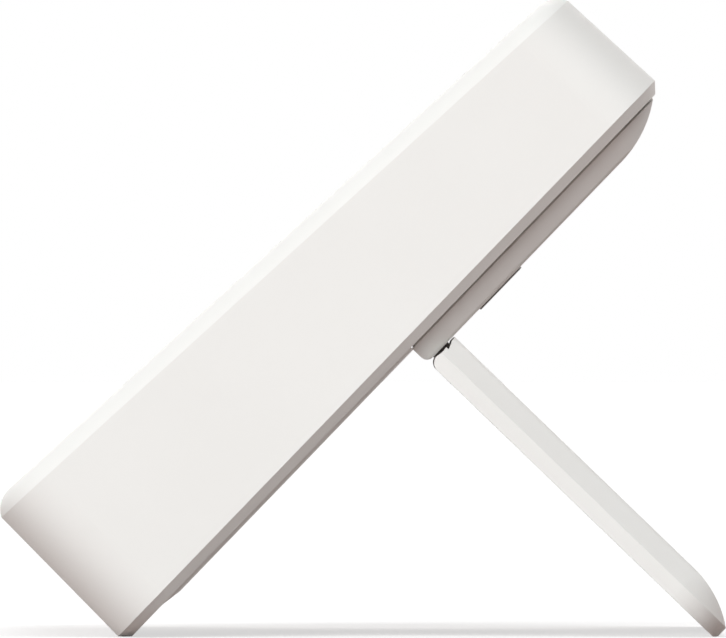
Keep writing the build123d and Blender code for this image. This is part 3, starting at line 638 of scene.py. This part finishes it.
@dataclass
class Wardrobe:
    """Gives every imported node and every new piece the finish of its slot.

    Args:
        materials: The material of each slot.
        worn: The slot that each piece wears, by the piece's name.
    """

    materials: dict[Slot, bpy.types.Material] = field(default_factory=dict)
    worn: dict[str, Slot] = field(default_factory=dict)

    def prepare(self, finishes: Iterable[Finish]) -> None:
        """Builds the materials.

        Args:
            finishes: One finish for each slot.
        """
        for finish in finishes:
            self.materials[finish.slot] = finish.material()

    def wear(self, piece: bpy.types.Object, slot: Slot) -> None:
        """Puts a slot's material on a piece.

        Args:
            piece: A mesh object.
            slot: The slot to wear.
        """
        piece.data.materials.clear()
        piece.data.materials.append(self.materials[slot])
        self.worn[piece.name] = slot

    def dress(self, nodes: dict[str, bpy.types.Object], record: dict) -> None:
        """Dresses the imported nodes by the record's slots.

        Args:
            nodes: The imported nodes.
            record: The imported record.
        """
        for entry in record["subparts"]:
            self.wear(nodes[entry["node"]], Slot(entry["material_slot"]))


@dataclass
class ScrewHeads:
    """Pan-head screws with a cross recess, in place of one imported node's plain screws.

    Args:
        node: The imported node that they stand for.
        facing: Way that the heads face.
        body: Body that they ride on.
        segments: Points round a screw.
        rings: Rings from a head's middle to its rim.
        arm: Half width of the recess's arms, in metres.
        reach: Length of its arms from the middle, in metres.
        depth: Depth of the recess, in metres.
        mouth: Half width of an arm at the head's face, as a share of arm.
        flank: Width of an arm's sloped flank, as a share of arm.
        run_out: Length of an arm's sloped end, as a share of arm.
        dome: How far the head's rim lies below its middle, in metres.
        head: Height of the head, in metres.
        shank: Radius of the shank and length of its point, in metres.
        tip: Radius of the point's blunt end, in metres.
        weld: Distance within which packed points are one, in metres.
        crease: Angle from which an edge stays sharp, in radians.
    """

    node: str
    facing: Vector
    body: Body
    segments: int = 96
    rings: int = 26
    arm: float = 0.34 * MILLIMETRE
    reach: float = 1.35 * MILLIMETRE
    depth: float = 0.7 * MILLIMETRE
    mouth: float = 1.25
    flank: float = 0.5
    run_out: float = 1.2
    dome: float = 0.22 * MILLIMETRE
    head: float = 1.2 * MILLIMETRE
    shank: float = 1.2 * MILLIMETRE
    tip: float = 0.15 * MILLIMETRE
    weld: float = MICROMETRE
    crease: float = radians(40.0)

    def islands(self, packed: bpy.types.Object) -> list[list[Vector]]:
        """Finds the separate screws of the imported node.

        Args:
            packed: The node's object.

        Returns:
            The points of each screw, in the order of the screws' lowest corners.
        """
        mesh = bmesh.new()
        mesh.from_mesh(packed.data)
        bmesh.ops.remove_doubles(mesh, verts=mesh.verts, dist=self.weld)
        left = set(mesh.verts)
        found: list[list[Vector]] = []
        while left:
            start = left.pop()
            queue, points = [start], [start.co.copy()]
            while queue:
                vertex = queue.pop()
                for edge in vertex.link_edges:
                    other = edge.other_vert(vertex)
                    if other in left:
                        left.remove(other)
                        queue.append(other)
                        points.append(other.co.copy())
            found.append(points)
        mesh.free()
        return sorted(found, key=lambda points: [min(values) for values in zip(*points)])

    def height(self, x: float, y: float, radius: float) -> float:
        """Gives the level of a head's face against its crown, with the recess.

        Args:
            x: Place across the head, in metres.
            y: Place along the head, in metres.
            radius: The head's radius, in metres.

        Returns:
            The level, in metres, zero or less.
        """
        away = sqrt(x * x + y * y)
        top = -self.dome * (away / radius) ** 2
        near, far = sorted((abs(x), abs(y)))
        width = portion((self.arm * self.mouth - near) / (self.arm * self.flank))
        length = portion((self.reach - far) / (self.arm * self.run_out))
        return top - self.depth * width * length

    def screw(self, mesh: bmesh.types.BMesh, points: Sequence[Vector]) -> None:
        """Adds one screw where a packed one stands.

        Args:
            mesh: The mesh to add to.
            points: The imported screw's points.
        """
        along = self.facing.cross(ACROSS)
        tops = [point.dot(self.facing) for point in points]
        sides = [point.dot(ACROSS) for point in points]
        lengths = [point.dot(along) for point in points]
        radius = (max(sides) - min(sides)) / 2
        seat = max(tops)
        length = seat - min(tops)
        axis = ACROSS * ((max(sides) + min(sides)) / 2) + along * ((max(lengths) + min(lengths)) / 2)

        def spot(x: float, y: float, level: float) -> bmesh.types.BMVert:
            """Adds a point at a place across and along the screw and a level along its axis."""
            return mesh.verts.new(axis + ACROSS * x + along * y + self.facing * level)

        rings: list[Ring] = []
        for step in range(1, self.rings + 1):
            places = circle(radius * step / self.rings, self.segments)
            rings.append([spot(x, y, seat + self.height(x, y, radius)) for x, y in places])
        for out, drop in (
            (radius, self.head),
            (self.shank, self.head),
            (self.shank, length - self.shank),
            (self.tip, length),
        ):
            rings.append([spot(x, y, seat - drop) for x, y in circle(out, self.segments)])
        web(mesh, spot(0.0, 0.0, seat + self.height(0.0, 0.0, radius)), rings)
        mesh.faces.new(tuple(reversed(rings[-1])))

    def build(self, packed: bpy.types.Object) -> bpy.types.Object:
        """Makes the screws as one piece.

        Args:
            packed: The node that they stand for.

        Returns:
            The new piece.
        """
        mesh = bmesh.new()
        for points in self.islands(packed):
            self.screw(mesh, points)
        bmesh.ops.recalc_face_normals(mesh, faces=mesh.faces)
        piece = finished(f"{self.node}_heads", mesh)
        piece.data.set_sharp_from_angle(angle=self.crease)
        return piece

    def fit(self, nodes: dict[str, bpy.types.Object], wardrobe: Wardrobe) -> None:
        """Builds the screws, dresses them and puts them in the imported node's place.

        Args:
            nodes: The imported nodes.
            wardrobe: The finishes.
        """
        piece = self.build(nodes[self.node])
        wardrobe.wear(piece, Slot.STEEL)
        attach(piece, self.body.value)
        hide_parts(self.node)


@dataclass(frozen=True)
class Lamp:
    """A far soft light.

    Args:
        name: The light's name.
        towards: Direction from the object to the light.
        power: Its strength, in watts per square metre.
        colour: Its colour.
        spread: Its apparent size, in radians.
    """

    name: str
    towards: tuple[float, float, float]
    power: float
    colour: Colour
    spread: float = radians(40.0)

    def hang(self) -> None:
        """Adds the light to the scene."""
        data = bpy.data.lights.new(self.name, "SUN")
        data.energy = self.power
        data.color = self.colour
        data.angle = self.spread
        lamp = bpy.data.objects.new(self.name, data)
        lamp.rotation_mode = "QUATERNION"
        lamp.rotation_quaternion = Vector(self.towards).to_track_quat("Z", "Y")
        bpy.context.scene.collection.objects.link(lamp)


@dataclass
class Studio:
    """Pale floor, soft light box and the side-on camera.

    Args:
        lens: Focal length, in millimetres.
        sensor: Sensor width, in millimetres.
        reach: Width of the view at the nearer side, in metres.
        near_side: Where the nearer side's outline lies along the width, in metres.
        aim: Middle of the view, along the depth and the height, in metres.
        stand: Where the camera stands, along the depth and the height, in metres.
        clip: Nearest and farthest distance that the camera sees, in metres.
        floor_rings: Radii of the floor's rings, in metres.
        floor_points: Points round the floor.
        floor_tone: Colour of the floor that the camera sees.
        floor_shade: Colour of its patches.
        floor_patch: Cycles per metre of those patches.
        floor_lift: Light that the floor adds for the camera, so that it shows white.
        floor_bounce: Colour of the floor for the light that it sends back to the object.
        sky: Colour of the dim surroundings.
        glow: Colour of the light box that stands to the right and in front.
        glow_way: Way to the light box, across, forward and up the leaning case.
        glow_edge: Where the glow starts and is full, as a cosine from that way.
        lamps: The far soft lights.
    """

    lens: float = 1400.0
    sensor: float = 36.0
    reach: float = 0.16915
    near_side: float = 0.115
    aim: tuple[float, float] = (0.05544, 0.07413)
    stand: tuple[float, float] = (0.06384, 0.06903)
    clip: tuple[float, float] = (0.05, 200.0)
    floor_rings: tuple[float, ...] = (0.3, 0.8, 2.0, 6.0, 40.0)
    floor_points: int = 32
    floor_tone: Colour = (0.47, 0.47, 0.47)
    floor_shade: Colour = (0.45, 0.45, 0.45)
    floor_patch: float = 3.0
    floor_lift: float = 0.62
    floor_bounce: Colour = (0.395, 0.315, 0.295)
    sky: Colour = (0.055, 0.044, 0.039)
    glow: Colour = (0.10, 0.10, 0.10)
    glow_way: tuple[float, float, float] = (0.66, 0.70, 0.10)
    glow_edge: tuple[float, float] = (-0.35, 0.55)
    lamps: tuple[Lamp, ...] = (
        Lamp("front_right", (0.78, -0.62, 0.06), 2.58, (0.97, 0.99, 1.0)),
        Lamp("top_right", (0.72, 0.05, 0.69), 2.06, (0.97, 0.99, 1.0)),
        Lamp("front", (0.20, -0.97, 0.12), 0.1, (1.0, 1.0, 1.0)),
        Lamp("left_fill", (-0.80, -0.35, 0.48), 1.4, (1.0, 0.97, 0.955)),
        Lamp("back_fill", (-0.70, 0.60, 0.38), 1.2, (1.0, 0.97, 0.955)),
    )

    def camera(self) -> None:
        """Makes the long-lens camera that looks along the width, with its lens shifted to the aim."""
        data = bpy.data.cameras.new("side_camera")
        data.lens = self.lens
        data.sensor_width = self.sensor
        data.shift_x, data.shift_y = ((aim - stand) / self.reach for aim, stand in zip(self.aim, self.stand))
        data.clip_start, data.clip_end = self.clip
        camera = bpy.data.objects.new("side_camera", data)
        away = self.reach * self.lens / self.sensor
        camera.location = (self.near_side + away, *self.stand)
        camera.rotation_euler = (pi / 2, 0.0, pi / 2)
        bpy.context.scene.collection.objects.link(camera)
        bpy.context.scene.camera = camera

    def floor(self) -> None:
        """Lays the pale floor, which stays white and keeps the object's shadow."""
        mesh = bmesh.new()
        rings = [
            [mesh.verts.new((x, y, 0.0)) for x, y in circle(radius, self.floor_points)]
            for radius in self.floor_rings
        ]
        web(mesh, mesh.verts.new((0.0, 0.0, 0.0)), rings)
        floor = finished("floor", mesh)
        floor.data.materials.append(self.floor_material())

    def floor_material(self) -> bpy.types.Material:
        """Builds the floor's material: near white to the camera, warm and dim to the object.

        Returns:
            The material.
        """
        made = bpy.data.materials.new("floor")
        made.use_nodes = True
        graph = Graph(made.node_tree)
        patches = graph.span(graph.noise(graph.place(), self.floor_patch), 0.0, 1.0)
        shown = graph.add("ShaderNodeBsdfDiffuse")
        graph.link(graph.blend(patches, self.floor_tone, self.floor_shade), shown.inputs["Color"])
        lift = graph.add("ShaderNodeEmission")
        lift.inputs["Color"].default_value = PLAIN_WHITE
        lift.inputs["Strength"].default_value = self.floor_lift
        bright = graph.add("ShaderNodeAddShader")
        graph.link(shown.outputs["BSDF"], bright.inputs[0])
        graph.link(lift.outputs["Emission"], bright.inputs[1])
        dim = graph.add("ShaderNodeBsdfDiffuse")
        dim.inputs["Color"].default_value = (*self.floor_bounce, 1.0)
        mix = graph.add("ShaderNodeMixShader")
        graph.link(graph.seen(), mix.inputs["Fac"])
        graph.link(dim.outputs["BSDF"], mix.inputs[1])
        graph.link(bright.outputs["Shader"], mix.inputs[2])
        output = graph.add("ShaderNodeOutputMaterial")
        graph.link(mix.outputs["Shader"], output.inputs["Surface"])
        return made

    def surroundings(self) -> None:
        """Makes the light box: brighter to the right and front, dim and warm behind, white to the camera."""
        world = bpy.data.worlds.new("light_box")
        world.use_nodes = True
        graph = Graph(world.node_tree)
        coordinates = graph.add("ShaderNodeTexCoord")
        facing = graph.add("ShaderNodeVectorMath", operation="DOT_PRODUCT")
        across, forward, up = self.glow_way
        facing.inputs[1].default_value = (ACROSS * across + FORWARD * forward + UP * up).normalized()
        graph.link(coordinates.outputs["Generated"], facing.inputs[0])
        ramp = graph.add("ShaderNodeMapRange", interpolation_type="SMOOTHSTEP")
        ramp.inputs["From Min"].default_value, ramp.inputs["From Max"].default_value = self.glow_edge
        graph.link(facing.outputs["Value"], ramp.inputs["Value"])
        box = graph.add("ShaderNodeBackground")
        graph.link(graph.blend(ramp.outputs["Result"], self.sky, self.glow), box.inputs["Color"])
        white = graph.add("ShaderNodeBackground")
        white.inputs["Color"].default_value = PLAIN_WHITE
        mix = graph.add("ShaderNodeMixShader")
        graph.link(graph.seen(), mix.inputs["Fac"])
        graph.link(box.outputs["Background"], mix.inputs[1])
        graph.link(white.outputs["Background"], mix.inputs[2])
        output = graph.add("ShaderNodeOutputWorld")
        graph.link(mix.outputs["Shader"], output.inputs["Surface"])
        bpy.context.scene.world = world

    def build(self) -> None:
        """Sets up the camera, floor, light box and lights."""
        self.camera()
        self.floor()
        self.surroundings()
        for lamp in self.lamps:
            lamp.hang()
        bpy.context.scene.view_settings.view_transform = "Standard"


@dataclass
class PhotoFrame:
    """The dressed photo frame.

    Args:
        screws: The screw sets whose heads show.
    """

    screws: tuple[ScrewHeads, ...] = (
        ScrewHeads("cover_screws", -FORWARD, Body.FRAME),
        ScrewHeads("leg_screws", -UP, Body.LEG),
    )

    def build(self, frame: dict) -> dict[str, Slot]:
        """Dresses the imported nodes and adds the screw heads.


        Returns:
            The slot that each piece wears, by the piece's name.
        """
        wardrobe = Wardrobe()
        wardrobe.prepare(FINISHES)
        wardrobe.dress(frame["nodes"], frame["record"])
        for screw in self.screws:
            screw.fit(frame["nodes"], wardrobe)
        return wardrobe.worn


def main() -> None:
    """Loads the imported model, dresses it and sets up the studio."""
    logging.basicConfig(level=logging.INFO)
    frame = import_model()
    for piece, slot in PhotoFrame().build(frame).items():
        LOG.info("%s wears %s", piece, slot.value)
    Studio().build()


if __name__ == "__main__":
    main()
